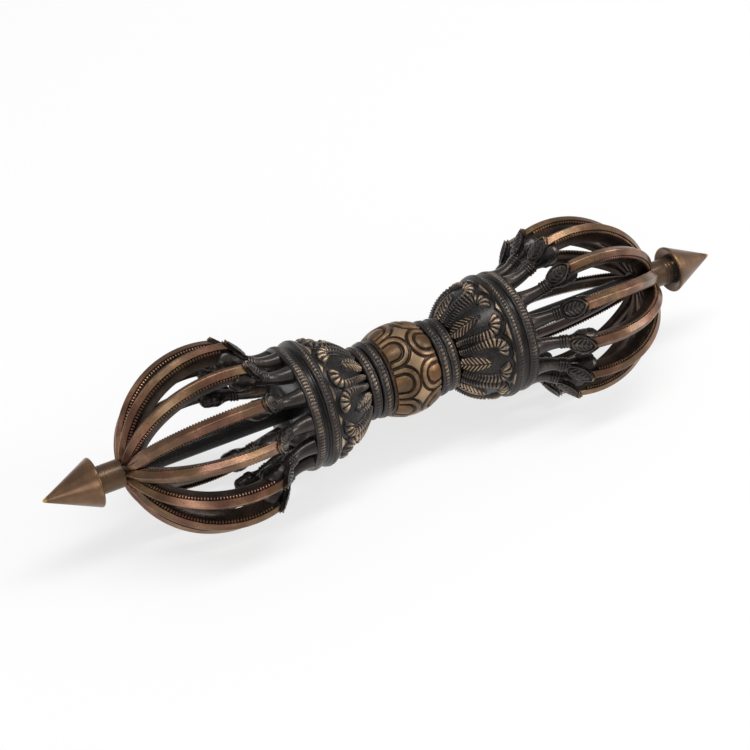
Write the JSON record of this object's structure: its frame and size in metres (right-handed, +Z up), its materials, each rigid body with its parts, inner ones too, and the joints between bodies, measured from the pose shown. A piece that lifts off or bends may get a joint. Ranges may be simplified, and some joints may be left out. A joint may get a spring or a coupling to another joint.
{
  "type": "dorje vajra",
  "caption": "Ritual sceptre: a carved hub ball between two lotus cups, each opening into a cage of curved, beaded prongs that closes on a neck and a spear-point finial.",
  "frame": {"origin": "centre of the hub ball, on the spindle's axis", "axes": "+X along the spindle from the left finial to the right finial, +Z up with the sceptre lying on its prong crests"},
  "size_m": [0.2498, 0.0618, 0.0612],
  "materials": {
    "dark_patina": "near-black brown patina with brass on the high points",
    "worn_brass": "brown-gold worn patina, dark in the grooves",
    "prong_brass": "dark stalk and head, copper-brown polished back",
    "finial_brass": "smooth copper-brown with a bright tip"
  },
  "bodies": {
    "root": {"central_spindle": "dark_patina", "hub_ball": "worn_brass", "left_hub_ring": "dark_patina", "left_cup_ring": "dark_patina", "left_lotus_cup": "dark_patina", "left_mouth_ring": "dark_patina", "left_prong_plate": "dark_patina", "left_neck_sleeve": "worn_brass", "left_finial": "finial_brass", "right_hub_ring": "dark_patina", "right_cup_ring": "dark_patina", "right_lotus_cup": "dark_patina", "right_mouth_ring": "dark_patina", "right_prong_plate": "dark_patina", "right_neck_sleeve": "worn_brass", "right_finial": "finial_brass", "left_prong_1": "prong_brass", "left_prong_2": "prong_brass", "left_prong_3": "prong_brass", "left_prong_4": "prong_brass", "left_prong_5": "prong_brass", "left_prong_6": "prong_brass", "left_prong_7": "prong_brass", "left_prong_8": "prong_brass", "left_prong_9": "prong_brass", "left_prong_10": "prong_brass", "left_prong_11": "prong_brass", "left_prong_12": "prong_brass", "left_prong_13": "prong_brass", "right_prong_1": "prong_brass", "right_prong_2": "prong_brass", "right_prong_3": "prong_brass", "right_prong_4": "prong_brass", "right_prong_5": "prong_brass", "right_prong_6": "prong_brass", "right_prong_7": "prong_brass", "right_prong_8": "prong_brass", "right_prong_9": "prong_brass", "right_prong_10": "prong_brass", "right_prong_11": "prong_brass", "right_prong_12": "prong_brass", "right_prong_13": "prong_brass"}
  },
  "joints": []
}
